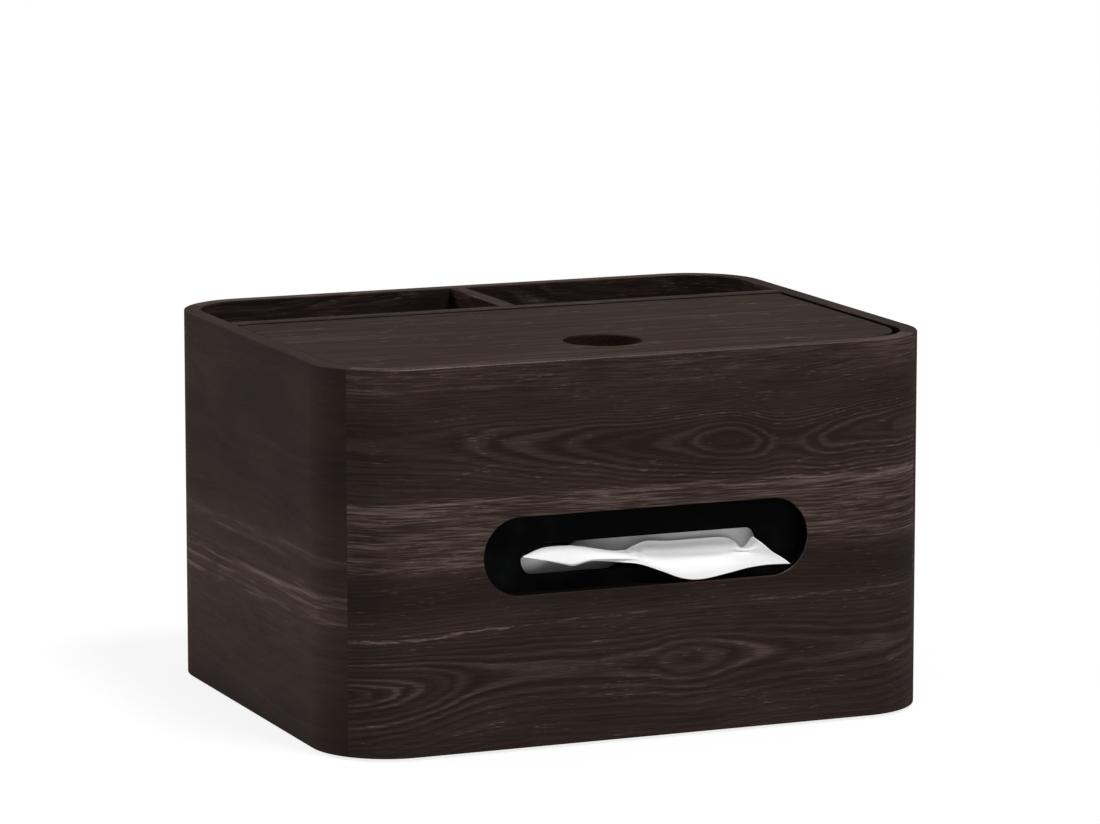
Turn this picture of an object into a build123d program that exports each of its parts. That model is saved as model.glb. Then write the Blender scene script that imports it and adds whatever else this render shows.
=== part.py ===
from build123d import *
import os

# Tissue box with a lift-off lid over the tissue compartment and two open
# compartments behind it. Millimetres. Origin at the middle of the footprint, on
# the surface the box stands on. +X right, +Y towards the back, +Z up. The slotted
# front faces -Y.

# Overall size of the wooden box
BOX_WIDTH = 220.0
BOX_DEPTH = 177.0
BOX_HEIGHT = 130.0
CORNER_RADIUS = 27.0
WALL = 6.0
EDGE_EASE = 0.4

# Foot pads under the base
PAD_HEIGHT = 1.0
PAD_RADIUS = 7.0
PAD_X = 86.0
PAD_Y = 64.0
PAD_EASE = 0.3

# Base panel, let into a rabbet round the lower edge of the shell
BASE_THICKNESS = 5.0
RABBET = 2.5

# Inner boards, housed in stopped grooves so that the top shows no joint
BOARD = 6.0
PARTITION_Y = 31.5
GROOVE_DEPTH = 2.0
GROOVE_STOP = 10.0

# Tissue outlet: a wide slot in the front wall, a narrow one in the plate behind it
SLOT_LENGTH = 118.0
SLOT_HEIGHT = 26.5
PLATE_THICKNESS = 3.0
PLATE_SLOT_LENGTH = 87.0
PLATE_SLOT_HEIGHT = 10.7
PLATE_SLOT_DROP = 2.6

# Lid: loose in its opening, pushed to the left and to the front
LID_THICKNESS = 6.0
LID_CLEARANCE = 0.2
LID_GAP_RIGHT = 2.8
LID_GAP_REAR = 3.2
LID_REAR_CORNER = 1.0
FINGER_HOLE_DIAMETER = 26.6
FINGER_HOLE_FROM_FRONT = 29.5
HOLE_EASE = 0.5

# Cleats that carry the lid
CLEAT = 6.0

# Fasteners
BASE_SCREW_LENGTH = 16.0
BASE_SCREW_RADIUS = 1.25
BASE_SCREW_HEAD_RADIUS = 2.5
BASE_SCREW_SINK = 0.2
SINK_OVERCUT = 1.0
PLATE_SCREW_LENGTH = 7.0
PLATE_SCREW_RADIUS = 1.1
PLATE_SCREW_HEAD_RADIUS = 2.5
PLATE_SCREW_HEAD_HEIGHT = 1.6
PLATE_SCREW_INSET = 9.0
RECESS_WIDTH = 0.6
RECESS_SPAN = 2.6
RECESS_DEPTH = 0.8
PIN_RADIUS = 0.6
PIN_LENGTH = 10.0

# Folded tissues standing on edge behind the plate, a third of them used up, and the
# sheet drawn from them
SHEET_WIDTH = 190.0
STACK_HEIGHT = 100.0
STACK_FRONT_Y = -40.0
STACK_BACK_Y = 22.0
STACK_EASE = 1.5
LEAF_THICKNESS = 1.6
LEAF_INSET = 1.0
NECK_WIDTH = 78.0
NECK_THICKNESS = 3.0
NECK_Z = 61.0
NECK_REACH = 0.9
LEAF_NECK_WIDTH = 184.0
LEAF_NECK_Z = 49.0
TUFT_FRONT_Y = -90.5
TUFT_BACK_Y = -83.6

# Levels and faces worked out from the sizes above
BOTTOM = PAD_HEIGHT
TOP = BOTTOM + BOX_HEIGHT
FLOOR = BOTTOM + BASE_THICKNESS
LID_UNDERSIDE = TOP - LID_THICKNESS
GROOVE_TOP = TOP - GROOVE_STOP
FRONT = -BOX_DEPTH / 2
INNER_X = BOX_WIDTH / 2 - WALL
INNER_Y = BOX_DEPTH / 2 - WALL
INNER_RADIUS = CORNER_RADIUS - WALL
SLOT_Z = BOTTOM + BOX_HEIGHT / 2
PLATE_SLOT_Z = SLOT_Z - PLATE_SLOT_DROP
PLATE_WIDTH = 2 * (INNER_X - INNER_RADIUS)
PLATE_BACK_Y = -INNER_Y + PLATE_THICKNESS
PARTITION_FRONT_Y = PARTITION_Y - BOARD / 2
PARTITION_BACK_Y = PARTITION_Y + BOARD / 2
CLEAT_Z = LID_UNDERSIDE - CLEAT / 2

BASE_SCREW_PLACES = [
    (-80.0, PARTITION_Y),
    (-28.0, PARTITION_Y),
    (28.0, PARTITION_Y),
    (80.0, PARTITION_Y),
    (0.0, 48.0),
    (0.0, 70.0),
]
PLATE_SCREW_X = PLATE_WIDTH / 2 - PLATE_SCREW_INSET
PLATE_SCREW_PLACES = [
    (side * PLATE_SCREW_X, level)
    for side in (-1, 1)
    for level in (FLOOR + PLATE_SCREW_INSET, LID_UNDERSIDE - PLATE_SCREW_INSET)
]
SIDE_PIN_PLACES = [-50.0, -17.0, 16.0]
REAR_PIN_PLACES = [-70.0, -24.0, 24.0, 70.0]

# Front view of the tuft that stands in the slot: x and z along its upper edge from
# the left tip to the right tip, then back along its lower edge
TUFT_UPPER = [(-43, 65), (-29, 68.2), (-9, 65), (4, 67.2), (26, 67.4), (40, 66.4)]
TUFT_TIP = (53, 56.3)
TUFT_LOWER = [(38, 56), (17, 53.6), (6, 57), (-10, 61), (-27, 62), (-43, 65)]


def board(x_low, x_high, y_low, y_high, z_low, z_high):
    """Square-edged board between two opposite corners."""
    size = (x_high - x_low, y_high - y_low, z_high - z_low)
    corner = (Align.MIN, Align.MIN, Align.MIN)
    return Pos(x_low, y_low, z_low) * Box(*size, align=corner)


def rounded_prism(width, depth, radius, z_low, z_high):
    """Upright prism, its plan a rectangle with rounded corners about the Z axis."""
    plan = RectangleRounded(width, depth, radius)
    return Pos(0, 0, z_low) * extrude(plan, z_high - z_low)


def facing_front(x, y, z):
    """Plane through a point, its normal towards the front and its local X along +X."""
    return Plane(origin=(x, y, z), x_dir=(1, 0, 0), z_dir=(0, -1, 0))


def stadium_cutter(length, height, z, y_front, y_back):
    """Prism with a stadium outline that passes from one Y face to another."""
    outline = facing_front(0, y_back, z) * SlotOverall(length, height)
    return extrude(outline, y_back - y_front)


def rod(start, direction, radius, length):
    """Round rod from a start point along a direction."""
    axis = Plane(origin=start, z_dir=direction)
    return extrude(axis * Circle(radius), length)


def cross_recess(start, direction):
    """Cross-shaped driver recess sunk into a screw head."""
    axis = Plane(origin=start, z_dir=direction)
    bars = Rectangle(RECESS_SPAN, RECESS_WIDTH) + Rectangle(RECESS_WIDTH, RECESS_SPAN)
    return extrude(axis * bars, RECESS_DEPTH)


def base_screw(x, y):
    """Countersunk wood screw driven up through the base panel."""
    head_z = BOTTOM + BASE_SCREW_SINK
    head_height = BASE_SCREW_HEAD_RADIUS - BASE_SCREW_RADIUS
    head = Pos(x, y, head_z + head_height / 2) * Cone(
        BASE_SCREW_HEAD_RADIUS, BASE_SCREW_RADIUS, head_height
    )
    tip_height = 2 * BASE_SCREW_RADIUS
    shank_top = head_z + BASE_SCREW_LENGTH - tip_height
    shank = rod((x, y, head_z), (0, 0, 1), BASE_SCREW_RADIUS, shank_top - head_z)
    tip = Pos(x, y, shank_top + tip_height / 2) * Cone(BASE_SCREW_RADIUS, 0, tip_height)
    return head + shank + tip - cross_recess((x, y, head_z), (0, 0, 1))


def base_screw_seat(x, y):
    """Countersink and clearance hole in the base panel, with a pilot hole above it."""
    head_z = BOTTOM + BASE_SCREW_SINK
    head_height = BASE_SCREW_HEAD_RADIUS - BASE_SCREW_RADIUS
    sink_start = BOTTOM - SINK_OVERCUT
    sink = rod((x, y, sink_start), (0, 0, 1), BASE_SCREW_HEAD_RADIUS, head_z - sink_start)
    cone = Pos(x, y, head_z + head_height / 2) * Cone(
        BASE_SCREW_HEAD_RADIUS, BASE_SCREW_RADIUS, head_height
    )
    hole = rod((x, y, head_z), (0, 0, 1), BASE_SCREW_RADIUS, BASE_SCREW_LENGTH)
    return sink + cone + hole


def plate_screw(x, z):
    """Pan-head screw through the slot plate into the front wall."""
    seat = (x, PLATE_BACK_Y, z)
    head_start = (x, PLATE_BACK_Y + PLATE_SCREW_HEAD_HEIGHT, z)
    head = rod(seat, (0, 1, 0), PLATE_SCREW_HEAD_RADIUS, PLATE_SCREW_HEAD_HEIGHT)
    head = fillet(head.edges().group_by(Axis.Y)[-1], PLATE_SCREW_HEAD_HEIGHT / 2)
    shank = rod(seat, (0, -1, 0), PLATE_SCREW_RADIUS, PLATE_SCREW_LENGTH)
    return head + shank - cross_recess(head_start, (0, -1, 0))


def plate_screw_hole(x, z):
    """Hole for a slot-plate screw, through the plate and blind in the front wall."""
    return rod((x, PLATE_BACK_Y, z), (0, -1, 0), PLATE_SCREW_RADIUS, PLATE_SCREW_LENGTH)


def cleat_pins():
    """Headless pins that hold the three cleats to the walls behind them."""
    pins = []
    for y in SIDE_PIN_PLACES:
        pins.append(((-INNER_X + CLEAT, y, CLEAT_Z), (-1, 0, 0)))
        pins.append(((INNER_X - CLEAT, y, CLEAT_Z), (1, 0, 0)))
    for x in REAR_PIN_PLACES:
        pins.append(((x, PARTITION_FRONT_Y - CLEAT, CLEAT_Z), (0, 1, 0)))
    return [rod(start, way, PIN_RADIUS, PIN_LENGTH) for start, way in pins]


def shell():
    """Bent-plywood ring: four walls and four round corners in one piece."""
    ring = rounded_prism(BOX_WIDTH, BOX_DEPTH, CORNER_RADIUS, BOTTOM, TOP)
    ring -= rounded_prism(2 * INNER_X, 2 * INNER_Y, INNER_RADIUS, BOTTOM, TOP)
    ring -= rounded_prism(
        2 * (INNER_X + RABBET), 2 * (INNER_Y + RABBET), INNER_RADIUS + RABBET, BOTTOM, FLOOR
    )
    ring = fillet(ring.edges().group_by(Axis.Z)[-1], EDGE_EASE)
    ring = fillet(ring.edges().group_by(Axis.Z)[0], EDGE_EASE)
    ring -= stadium_cutter(SLOT_LENGTH, SLOT_HEIGHT, SLOT_Z, FRONT, -INNER_Y)
    slot_edges = ring.edges().filter_by(
        lambda edge: abs(edge.center().Y - FRONT) < 0.01
        and abs(edge.center().Z - SLOT_Z) < SLOT_HEIGHT
    )
    ring = fillet(slot_edges, EDGE_EASE)
    for side in (-1, 1):
        outer, inner = side * (INNER_X + GROOVE_DEPTH), side * INNER_X
        ring -= board(
            min(outer, inner), max(outer, inner),
            PARTITION_FRONT_Y, PARTITION_BACK_Y, FLOOR, GROOVE_TOP,
        )
    ring -= board(-BOARD / 2, BOARD / 2, INNER_Y, INNER_Y + GROOVE_DEPTH, FLOOR, GROOVE_TOP)
    for place in PLATE_SCREW_PLACES:
        ring -= plate_screw_hole(*place)
    for pin in cleat_pins():
        ring -= pin
    return ring


def base_panel():
    """Bottom board, let into the rabbet of the shell and screwed to the inner boards."""
    panel = rounded_prism(
        2 * (INNER_X + RABBET), 2 * (INNER_Y + RABBET), INNER_RADIUS + RABBET, BOTTOM, FLOOR
    )
    for place in BASE_SCREW_PLACES:
        panel -= base_screw_seat(*place)
    return panel


def partition():
    """Cross board between the tissue compartment and the two rear compartments."""
    panel = board(-INNER_X, INNER_X, PARTITION_FRONT_Y, PARTITION_BACK_Y, FLOOR, TOP)
    top_edges = panel.edges().group_by(Axis.Z)[-1].filter_by(Axis.X)
    panel = fillet(top_edges, EDGE_EASE)
    reach = INNER_X + GROOVE_DEPTH
    panel += board(-reach, reach, PARTITION_FRONT_Y, PARTITION_BACK_Y, FLOOR, GROOVE_TOP)
    panel -= board(
        -BOARD / 2, BOARD / 2,
        PARTITION_BACK_Y - GROOVE_DEPTH, PARTITION_BACK_Y, FLOOR, GROOVE_TOP,
    )
    for place in BASE_SCREW_PLACES:
        panel -= base_screw_seat(*place)
    for pin in cleat_pins():
        panel -= pin
    return panel


def divider():
    """Short board between the pen compartment and the phone compartment."""
    panel = board(-BOARD / 2, BOARD / 2, PARTITION_BACK_Y, INNER_Y, FLOOR, TOP)
    top_edges = panel.edges().group_by(Axis.Z)[-1].filter_by(Axis.Y)
    panel = fillet(top_edges, EDGE_EASE)
    panel += board(
        -BOARD / 2, BOARD / 2,
        PARTITION_BACK_Y - GROOVE_DEPTH, INNER_Y + GROOVE_DEPTH, FLOOR, GROOVE_TOP,
    )
    for place in BASE_SCREW_PLACES:
        panel -= base_screw_seat(*place)
    return panel


def slot_plate():
    """Black plate behind the front wall. Its narrow slot lets one tissue out at a time."""
    plate = board(
        -PLATE_WIDTH / 2, PLATE_WIDTH / 2, -INNER_Y, PLATE_BACK_Y, FLOOR, LID_UNDERSIDE
    )
    plate -= stadium_cutter(
        PLATE_SLOT_LENGTH, PLATE_SLOT_HEIGHT, PLATE_SLOT_Z, -INNER_Y, PLATE_BACK_Y
    )
    for place in PLATE_SCREW_PLACES:
        plate -= plate_screw_hole(*place)
    return plate


def side_cleat(side):
    """Strip on a side wall that carries one end of the lid."""
    inner, outer = side * (INNER_X - CLEAT), side * INNER_X
    front_y = -INNER_Y + INNER_RADIUS
    strip = board(
        min(inner, outer), max(inner, outer),
        front_y, PARTITION_FRONT_Y, LID_UNDERSIDE - CLEAT, LID_UNDERSIDE,
    )
    for pin in cleat_pins():
        strip -= pin
    return strip


def rear_cleat():
    """Strip on the partition that carries the rear edge of the lid."""
    reach = INNER_X - CLEAT
    strip = board(
        -reach, reach, PARTITION_FRONT_Y - CLEAT, PARTITION_FRONT_Y,
        LID_UNDERSIDE - CLEAT, LID_UNDERSIDE,
    )
    for pin in cleat_pins():
        strip -= pin
    return strip


def lid():
    """Flat lid with a finger hole. Its front corners follow the inside of the shell."""
    left, right = -INNER_X + LID_CLEARANCE, INNER_X - LID_GAP_RIGHT
    front, rear = -INNER_Y + LID_CLEARANCE, PARTITION_FRONT_Y - LID_GAP_REAR
    panel = board(left, right, front, rear, LID_UNDERSIDE, TOP)
    upright = panel.edges().filter_by(Axis.Z)
    panel = fillet(upright.group_by(Axis.Y)[0], INNER_RADIUS - LID_CLEARANCE)
    rear_upright = panel.edges().filter_by(Axis.Z).group_by(Axis.Y)[-1]
    panel = fillet(rear_upright, LID_REAR_CORNER)
    panel = fillet(panel.edges().group_by(Axis.Z)[-1], EDGE_EASE)
    panel = fillet(panel.edges().group_by(Axis.Z)[0], EDGE_EASE)
    hole_x = (left + right) / 2
    hole_y = front + FINGER_HOLE_FROM_FRONT
    panel -= rod(
        (hole_x, hole_y, LID_UNDERSIDE), (0, 0, 1), FINGER_HOLE_DIAMETER / 2, LID_THICKNESS
    )
    hole_edges = panel.edges().filter_by(
        lambda edge: edge.geom_type == GeomType.CIRCLE
        and abs(edge.radius - FINGER_HOLE_DIAMETER / 2) < 0.01
    )
    return fillet(hole_edges, HOLE_EASE)


def foot_pad(x, y):
    """Thin round anti-slip pad stuck under the base."""
    pad = rod((x, y, 0), (0, 0, 1), PAD_RADIUS, PAD_HEIGHT)
    return fillet(pad.edges().group_by(Axis.Z)[0], PAD_EASE)


def tissue_stack():
    """Folded tissues standing on edge, their fold line facing the slot."""
    half = SHEET_WIDTH / 2
    stack = board(-half, half, STACK_FRONT_Y, STACK_BACK_Y, FLOOR, FLOOR + STACK_HEIGHT)
    return fillet(stack.edges(), STACK_EASE)


def pulled_tissue():
    """Top sheet: a folded leaf on the stack, gathered through both slots into a tuft."""
    half = SHEET_WIDTH / 2
    leaf_front = STACK_FRONT_Y - LEAF_THICKNESS
    leaf = board(
        -half, half, leaf_front, STACK_FRONT_Y,
        FLOOR + LEAF_INSET, FLOOR + STACK_HEIGHT - LEAF_INSET,
    )
    start = facing_front(0, leaf_front, LEAF_NECK_Z) * Rectangle(LEAF_NECK_WIDTH, NECK_THICKNESS)
    neck_back = PLATE_BACK_Y + NECK_REACH
    end = facing_front(0, neck_back, NECK_Z) * Rectangle(NECK_WIDTH, NECK_THICKNESS)
    gather = loft([start, end])
    neck = board(
        -NECK_WIDTH / 2, NECK_WIDTH / 2, TUFT_BACK_Y, neck_back,
        NECK_Z - NECK_THICKNESS / 2, NECK_Z + NECK_THICKNESS / 2,
    )
    upper = Spline(*TUFT_UPPER)
    slope = Line(TUFT_UPPER[-1], TUFT_TIP)
    lower = Spline(TUFT_TIP, *TUFT_LOWER)
    outline = make_face(Curve() + [upper, slope, lower])
    tuft = extrude(facing_front(0, TUFT_BACK_Y, 0) * outline, TUFT_BACK_Y - TUFT_FRONT_Y)
    return leaf + gather + neck + tuft


pieces = {
    "shell": shell(),
    "base_panel": base_panel(),
    "partition": partition(),
    "divider": divider(),
    "slot_plate": slot_plate(),
    "lid": lid(),
    "lid_cleat_left": side_cleat(-1),
    "lid_cleat_right": side_cleat(1),
    "lid_cleat_rear": rear_cleat(),
    "base_screws": Compound([base_screw(*place) for place in BASE_SCREW_PLACES]),
    "slot_plate_screws": Compound([plate_screw(*place) for place in PLATE_SCREW_PLACES]),
    "cleat_pins": Compound(cleat_pins()),
    "tissue_stack": tissue_stack(),
    "pulled_tissue": pulled_tissue(),
}
for row, y in (("front", -PAD_Y), ("rear", PAD_Y)):
    for side, x in (("left", -PAD_X), ("right", PAD_X)):
        pieces[f"foot_pad_{row}_{side}"] = foot_pad(x, y)

os.makedirs("parts", exist_ok=True)
for name, piece in pieces.items():
    export_step(piece, f"parts/{name}.step")
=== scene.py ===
import bpy
import numpy as np
from mathutils import Euler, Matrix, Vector


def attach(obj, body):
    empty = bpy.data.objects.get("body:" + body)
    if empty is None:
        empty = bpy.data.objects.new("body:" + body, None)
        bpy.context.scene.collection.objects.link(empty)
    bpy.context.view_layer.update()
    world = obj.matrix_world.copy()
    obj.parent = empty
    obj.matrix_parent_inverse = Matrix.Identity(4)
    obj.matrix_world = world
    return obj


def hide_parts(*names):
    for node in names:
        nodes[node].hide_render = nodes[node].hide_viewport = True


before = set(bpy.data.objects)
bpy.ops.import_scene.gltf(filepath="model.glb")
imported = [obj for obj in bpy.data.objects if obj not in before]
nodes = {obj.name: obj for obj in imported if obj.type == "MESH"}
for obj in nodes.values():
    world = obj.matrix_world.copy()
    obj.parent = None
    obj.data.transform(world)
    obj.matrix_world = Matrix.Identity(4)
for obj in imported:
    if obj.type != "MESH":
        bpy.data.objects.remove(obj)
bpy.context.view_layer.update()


# ---------------------------------------------------------------- base panel
# The bottom is a 5 mm board let into the rabbet of the shell. It is cut from stained
# fibreboard, so it shows fine felted specks and hardly any grain, and has a matt face.

BOARD_DARK = (0.012, 0.0085, 0.0075, 1)
BOARD_MID = (0.022, 0.016, 0.0135, 1)
BOARD_LIGHT = (0.036, 0.026, 0.022, 1)
BOARD_SPECK = (2.7, 0.9)    # mm, length and width
BOARD_CLOUD = 24.0          # mm
BOARD_NAP = 0.00012         # m


class Reading:
    """A value that a shader reads over a surface. Arithmetic on readings adds the Math nodes
    that do it. A comparison gives 1 where it holds and 0 elsewhere."""

    def __init__(self, socket):
        self.socket = socket

    def __add__(self, other):
        return calc("ADD", self, other)

    def __sub__(self, other):
        return calc("SUBTRACT", self, other)

    def __rsub__(self, other):
        return calc("SUBTRACT", other, self)

    def __mul__(self, other):
        return calc("MULTIPLY", self, other)

    def __truediv__(self, other):
        return calc("DIVIDE", self, other)

    def __pow__(self, power):
        return calc("POWER", self, power)

    def __abs__(self):
        return calc("ABSOLUTE", self)

    def __lt__(self, limit):
        return calc("LESS_THAN", self, limit)

    def __gt__(self, limit):
        return calc("GREATER_THAN", self, limit)

    __radd__, __rmul__ = __add__, __mul__


def tree_of(*values):
    """The node tree of the readings among these values."""
    return next(value.socket.id_data for value in values if isinstance(value, Reading))


def give(socket, value):
    """Link a reading to an input, or set the input's own value."""
    if isinstance(value, Reading):
        socket.id_data.links.new(value.socket, socket)
    else:
        socket.default_value = value


def fill(node, **inputs):
    """Give a node its inputs by name. Underscores stand for spaces."""
    for name, value in inputs.items():
        give(node.inputs[name.replace("_", " ")], value)
    return node


def put(tree, kind, settings=None, **inputs):
    """Add a shader node with these settings and inputs."""
    node = tree.nodes.new("ShaderNode" + kind)
    for name, value in (settings or {}).items():
        setattr(node, name, value)
    return fill(node, **inputs)


def readings(sockets):
    """A node's output sockets as readings, by name."""
    return {socket.name: Reading(socket) for socket in sockets}


def calc(operation, *values):
    """One Math node over readings and numbers, in the order of its inputs."""
    node = put(tree_of(*values), "Math", {"operation": operation})
    for socket, value in zip(node.inputs, values):
        give(socket, value)
    return Reading(node.outputs[0])


def point(x, y, z):
    """A vector from three readings or numbers."""
    return Reading(put(tree_of(x, y, z), "CombineXYZ", X=x, Y=y, Z=z).outputs[0])


def parts_of(vector):
    """The three coordinates of a vector."""
    node = put(tree_of(vector), "SeparateXYZ", Vector=vector)
    return [Reading(socket) for socket in node.outputs]


def cloud(place, detail=2.0, roughness=0.5, scale=1.0):
    """Fractal noise from 0 to 1 at a place whose unit is the size of one blotch."""
    node = put(tree_of(place), "TexNoise", {"noise_dimensions": "3D"}, Vector=place, Scale=scale,
               Detail=detail, Roughness=roughness)
    return Reading(node.outputs["Fac"])


def shades(value, *stops):
    """A colour ramp: each stop is a position and a linear colour."""
    node = put(tree_of(value), "ValToRGB", Fac=value)
    ramp = node.color_ramp
    ramp.elements[0].position, ramp.elements[0].color = stops[0]
    ramp.elements[1].position, ramp.elements[1].color = stops[-1]
    for position, colour in stops[1:-1]:
        ramp.elements.new(position).color = colour
    return Reading(node.outputs["Color"])


def bumps(height, depth):
    """Normals over a height of 0 to 1 that stands for a depth in metres."""
    node = put(tree_of(height), "Bump", Height=height, Strength=1.0, Distance=depth)
    return Reading(node.outputs[0])


def start_material(name, uv_map=None):
    """A node material, its Principled shader, and the place on the piece in millimetres, from
    Object coordinates or from a UV map of its own."""
    material = bpy.data.materials.new(name)
    material.use_nodes = True
    tree = material.node_tree
    if uv_map:
        place = put(tree, "UVMap", {"uv_map": uv_map})
    else:
        metres = readings(put(tree, "TexCoord").outputs)["Object"]
        place = put(tree, "VectorMath", {"operation": "SCALE"}, Vector=metres, Scale=1000.0)
    return material, tree.nodes["Principled BSDF"], Reading(place.outputs[0])


def finish_node(name, material):
    """Give a CAD node its material."""
    nodes[name].material_slots[0].material = material


def felted_board():
    """Stained fibreboard: specks of fibre over soft clouds, and a matt surface."""
    material, shader, mm = start_material("stained_fibreboard")
    x, y, z = parts_of(mm)
    length, width = BOARD_SPECK
    fibre = cloud(point(x / length, y / width, z), 4, 0.65)
    tone = fibre * 0.7 + cloud(mm, 2, 0.5, 1 / BOARD_CLOUD) * 0.4
    fill(shader, Base_Color=shades(tone, (0.25, BOARD_DARK), (0.55, BOARD_MID), (0.85, BOARD_LIGHT)),
         Roughness=fibre * 0.25 + 0.55, Specular_IOR_Level=0.2, Normal=bumps(fibre, BOARD_NAP))
    return material


board = felted_board()
finish_node("base_panel", board)


# ---------------------------------------------------------------- shell
# The wall is 6 mm plywood bent round four corners and closed into a ring. Front and back
# carry one sheet of dark stained veneer each, and the sides another, which meet in a fine
# seam on the corner. The grain runs level round the box. The finish is a satin lacquer.

CORNER_X, CORNER_Y = 83.0, 61.5     # mm, middles of the corner arcs
OUTER_RADIUS = 27.0                 # mm
INNER_FACE_RADIUS = 21.3            # mm, nearer than this to the arc's middle is the inner face
SEAM_ANGLE = np.radians(50.0)       # from the front's own direction, round the corner
RIM_TOP, SLOT_Z = 131.0, 66.0       # mm
PARTITION_Y = 31.5                  # mm, middle of the partition's thickness
SLOT_HALF, SLOT_RADIUS = 59.0, 13.25    # mm

VENEER_DEEP = (0.0130, 0.0082, 0.0070, 1)
VENEER_DARK = (0.0240, 0.0158, 0.0132, 1)
VENEER_MID = (0.0460, 0.0310, 0.0262, 1)
VENEER_PALE = (0.1600, 0.1150, 0.1020, 1)
# Black: stain on the slot's cut edge, and painted shade on the inner wall round the tissues, from where
# the painted shade begins to where it is full
BLACK_STAIN_AND_SHADE = (0.0036, 0.0028, 0.0024, 1)   # the slot's cut edge, and the wall round the tissues
BLACK_FROM, BLACK_FULL = PARTITION_Y - 2.5, PARTITION_Y - 4.0   # mm, where the wall turns black
LACQUER = 0.05                      # share of the surface that the thin lacquer closes
EDGE_LACQUER = 0.38                 # and how much more on the polished edges
LACQUER_ROUGHNESS = 0.32
POLISHED_X, POLISHED_RISE = (38.0, 52.0), (4.0, -4.0)   # mm, where the slot's edge turns glossy
GRAIN_RELIEF = 0.00009              # m

# The figure of the front sheet, as two cathedrals one over the other. Each has the height
# of its middle line and the rings counted along it, at distances along the front, and the
# rings counted straight up and down from it.
UPPER_MIDDLE = [(-125, 106), (-70, 105.4), (-54, 104.5), (-35, 102.9), (-19, 102.2), (0, 100.6),
                (29.4, 100.4), (50, 98.2), (61, 98.3), (69.4, 99.1), (89.4, 101.2), (125, 101.6)]
UPPER_RINGS = [(-125, 8.8), (-100, 8.6), (-84, 8.4), (-70.6, 8.0), (-54.4, 7.0), (-35, 6.0),
               (-18.8, 5.0), (0, 4.0), (14.4, 3.0), (23, 2.0), (29.4, 1.65), (36, 2.0), (43, 3.0),
               (50, 3.8), (61, 3.0), (69.4, 2.0), (89.4, 1.0), (97, 0.4), (125, 1.8)]
UPPER_SPREAD = [(-60, 38), (-45, 29), (-30, 19.5), (-20, 12.5), (-14, 8.2), (-10, 5.4),
                (-6.6, 3.1), (-5, 2.1), (-3, 1.1), (-1, 0.25), (0, 0), (1, 0.25), (3, 1.2),
                (5, 2.2), (6.2, 3.2), (9, 5.8), (12, 9.0), (16, 13.5), (24, 21), (32, 29)]
LOWER_MIDDLE = [(-125, 20), (-97.8, 22.9), (-84.6, 24.2), (-75, 25.0), (-66, 25.8), (-58, 26.4),
                (-45, 27), (-32, 27), (-18.8, 26.4), (16.3, 26.6), (53.8, 27), (75, 26),
                (100, 27.5), (125, 30)]
LOWER_RINGS = [(-125, 0.5), (-113, 0.8), (-104, 1.25), (-96, 2.0), (-87, 3.0), (-78, 4.0),
               (-70.5, 5.0), (-61, 6.0), (-52, 6.35), (-36, 6.5), (-20, 6.45), (-8, 6.3),
               (2.5, 6.0), (9, 5.45), (16.3, 5.2), (24, 5.5), (30.6, 6.0), (42, 6.6), (53.8, 7.0),
               (75, 7.4), (125, 8.2)]
LOWER_SPREAD = [(-30, 15), (-18, 9.4), (-10, 5.8), (-5, 3.1), (-2.4, 1.5), (0, 0), (2.4, 1.6),
                (5, 3.3), (8, 5.2), (12, 8.0), (20, 14.6), (45, 33)]
UPPER_BLUNT, LOWER_BLUNT = 1.5, 2.0
BRIGHT_ARCS, ARCS_REACH = (-80.0, 23.0), (40.0, 17.0)   # mm, where the lower rings stand out
CROWDED_RINGS = (7.5, 11.5)         # rings from the middle line where the rings merge and fade

# Lighter and darker stripes of the two outer sheets, from the bottom to the rim. They sway
# over a length and by a height, and those of the sides climb a little along the wall.
FRONT_STRIPES = [(1, 0.02), (14, 0.035), (36, 0.02), (42, 0.035), (48, 0.0), (54, -0.06),
                 (60, -0.04), (63, 0.12), (70, 0.21), (80, 0.19), (85.5, 0.26), (87.5, 0.03),
                 (96, 0.015), (112, -0.01), (119, 0.02), (127, 0.12), (131, 0.08)]
SIDE_STRIPES = [(1, -0.08), (12, 0.0), (26, 0.05), (40, 0.08), (42.4, 0.12), (43.4, 0.2),
                (44.4, 0.13), (47, 0.13), (47.8, 0.25), (48.8, 0.14), (50.2, 0.15), (51.0, 0.28),
                (52.0, 0.13), (56, 0.09), (58.5, 0.03), (61, 0.05), (63, 0.14), (66, 0.10),
                (69, 0.02), (80, -0.01), (96, -0.07), (110, -0.05), (118, -0.05), (131, -0.09)]
SWAY_LENGTH, SWAY_HEIGHT, SIDE_CLIMB = 45.0, 4.0, 0.03

# A thin pale line under the slot: its height and its strength along the front.
PALE_LINE = [(-125, 39.4), (-107, 40.0), (-88, 40.5), (-72, 41.4), (-55, 42.6), (-40, 43.2),
             (-20, 43.4), (0, 44.0), (40, 44.8), (125, 46.5)]
PALE_STRENGTH = [(-125, 0.28), (-95, 0.32), (-45, 0.28), (-30, 0.16), (-5, 0.15), (20, 0.06),
                 (60, 0.12), (125, 0.05)]
PALE_HALF, PALE_WANDER = 0.6, 2.6   # mm, half its thickness, and how far it wanders
PALE_JAG, PALE_SPECK = (7.0, 1.6), (4.5, 0.7)   # mm, length and width

# A quiet sheet's figure: length and width of a bend, and the distance from ring to ring, in mm.
QUIET_BEND, QUIET_SPACING, QUIET_RINGS_BENT = (95.0, 34.0), 7.5, 9.0

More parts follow.
